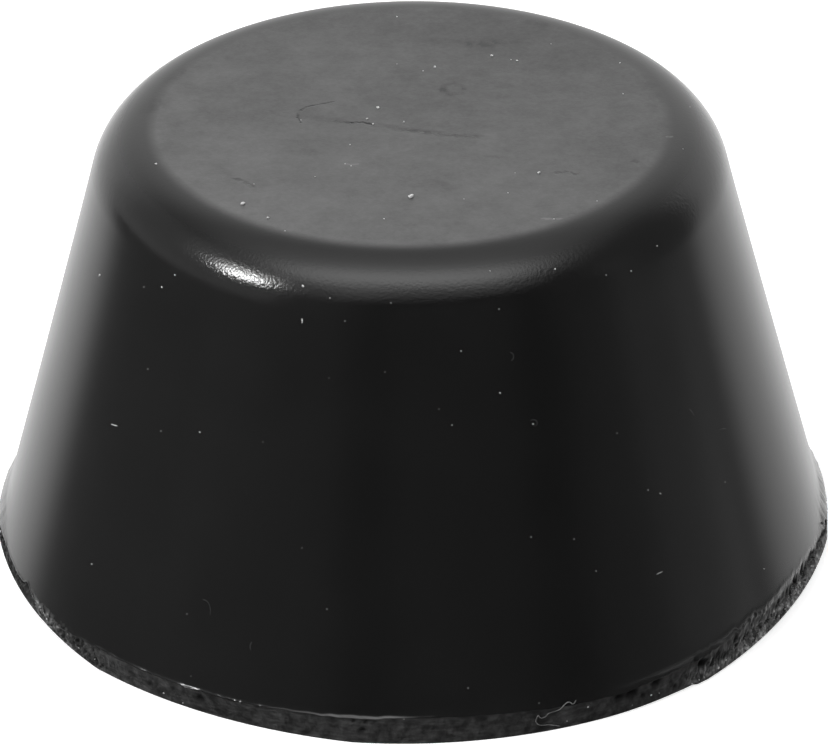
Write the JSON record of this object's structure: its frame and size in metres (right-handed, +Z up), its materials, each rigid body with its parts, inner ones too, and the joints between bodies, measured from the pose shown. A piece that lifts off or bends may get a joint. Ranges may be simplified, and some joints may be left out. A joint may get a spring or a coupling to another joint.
{
  "type": "rubber lift pad",
  "caption": "Solid tapered round rubber block with a flat bearing face, rounded shoulder and hand-trimmed base rim, placed between a lift or jack and the load.",
  "frame": {"origin": "middle of the flat base, on the surface the pad stands on", "axes": "+Z up along the pad's axis, out of the bearing face; -Y towards the side with the trimmed rim's shallowest pass"},
  "size_m": [0.0606, 0.0601, 0.0335],
  "materials": {
    "moulded_rubber": "black moulded rubber: matt, faintly bloomed bearing face, smooth semi-gloss flank, torn knife-cut rim"
  },
  "bodies": {
    "root": {"pad": "moulded_rubber"}
  },
  "joints": []
}
